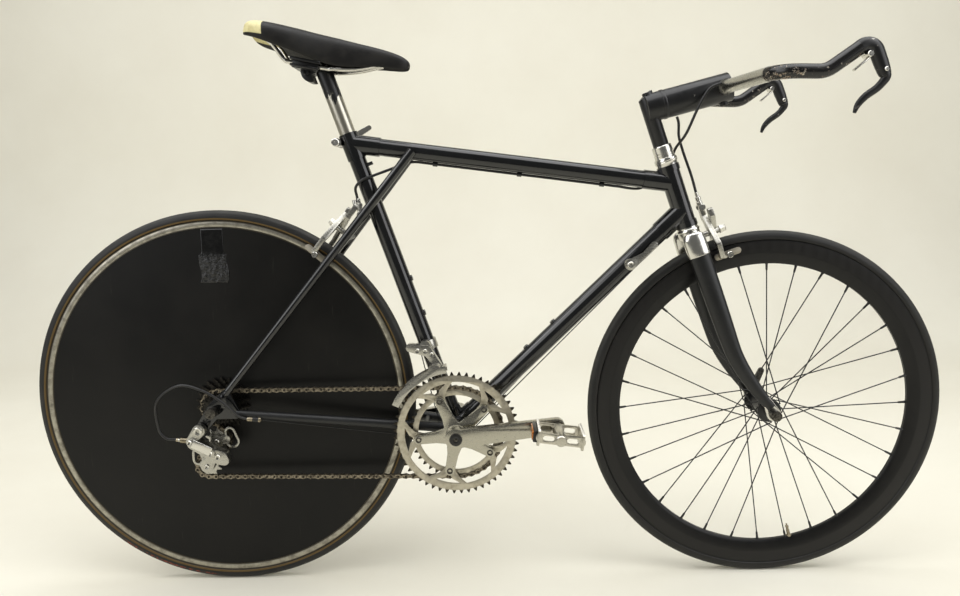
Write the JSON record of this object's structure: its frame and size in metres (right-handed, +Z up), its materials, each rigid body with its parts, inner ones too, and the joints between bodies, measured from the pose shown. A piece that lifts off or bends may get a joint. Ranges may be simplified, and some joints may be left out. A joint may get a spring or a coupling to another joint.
{
  "type": "time trial bicycle",
  "caption": "Lugged time trial bicycle with a solid disc rear wheel, a smaller deep-rimmed front wheel, a sloping top tube and forward bullhorn bars with hooked brake levers.",
  "frame": {"origin": "where the rider sits, on top of the saddle above the seat post", "axes": "+X forward, +Y to the rider's left, +Z up"},
  "size_m": [1.5829, 0.3768, 0.9688],
  "materials": {
    "frame_paint": "gloss",
    "black_alloy": "satin",
    "chrome": "polished",
    "polished_alloy": "polished",
    "steel": "oiled",
    "black_spokes": "satin",
    "brake_rubber": "matt",
    "cable_housing": "satin",
    "tyre": "matt",
    "disc_shell": "satin",
    "saddle_cover": "satin"
  },
  "bodies": {
    "frame": {"head_tube": "frame_paint", "top_tube": "frame_paint", "down_tube": "frame_paint", "seat_tube": "frame_paint", "bottom_bracket": "frame_paint", "seat_stays": "frame_paint", "chain_stays": "frame_paint", "stay_bridges": "frame_paint", "rear_dropouts": "frame_paint", "headset_cups": "chrome", "seat_post": "black_alloy", "saddle_clamp": "black_alloy", "saddle_rails": "chrome", "saddle": "saddle_cover", "seat_binder": "chrome", "front_derailleur": "polished_alloy", "rear_derailleur": "polished_alloy", "derailleur_cage": "steel", "shift_levers": "polished_alloy", "rear_brake": "polished_alloy", "rear_brake_pads": "brake_rubber", "rear_axle": "steel", "chain": "steel", "rear_brake_housing": "cable_housing", "gear_cables": "cable_housing"},
    "steering": {"fork_crown": "chrome", "fork_blades": "frame_paint", "fork_ends": "chrome", "headset_nut": "chrome", "stem": "black_alloy", "handlebar": "polished_alloy", "bar_horns": "black_alloy", "lever_hoods": "black_alloy", "lever_blades": "black_alloy", "front_brake": "polished_alloy", "front_brake_pads": "brake_rubber", "front_axle": "steel", "front_brake_housing": "cable_housing", "rear_housing_loop": "cable_housing"},
    "front_wheel": {"front_tyre": "tyre", "front_rim": "black_alloy", "front_spokes": "black_spokes", "front_hub": "black_alloy"},
    "rear_wheel": {"rear_tyre": "tyre", "rear_rim": "polished_alloy", "rear_disc": "disc_shell", "rear_hub": "steel", "cassette": "steel"},
    "crank": {"crank_right": "polished_alloy", "outer_chainring": "polished_alloy", "inner_chainring": "polished_alloy", "crank_left": "polished_alloy", "crank_spindle": "steel", "pedal_axles": "steel"},
    "right_pedal": {"pedal_right": "polished_alloy"},
    "left_pedal": {"pedal_left": "polished_alloy"}
  },
  "joints": [
    {"name": "steering", "type": "hinge", "parent": "frame", "child": "steering", "pos_m": [0.61606, 0, -0.32897], "axis": [-0.3173, 0, 0.9483], "range_deg": [-50, 50]},
    {"name": "front_wheel_spin", "type": "hinge", "parent": "steering", "child": "front_wheel", "pos_m": [0.75334, 0, -0.64472], "axis": [0, 1, 0], "continuous": true},
    {"name": "rear_wheel_spin", "type": "hinge", "parent": "frame", "child": "rear_wheel", "pos_m": [-0.18966, 0, -0.61672], "axis": [0, 1, 0], "continuous": true},
    {"name": "crank_spin", "type": "hinge", "parent": "frame", "child": "crank", "pos_m": [0.21734, 0, -0.66972], "axis": [0, 1, 0], "continuous": true},
    {"name": "right_pedal_spin", "type": "hinge", "parent": "crank", "child": "right_pedal", "pos_m": [0.38625, -0.119, -0.65048], "axis": [0, 1, 0], "continuous": true},
    {"name": "left_pedal_spin", "type": "hinge", "parent": "crank", "child": "left_pedal", "pos_m": [0.04844, 0.119, -0.68897], "axis": [0, 1, 0], "continuous": true}
  ]
}
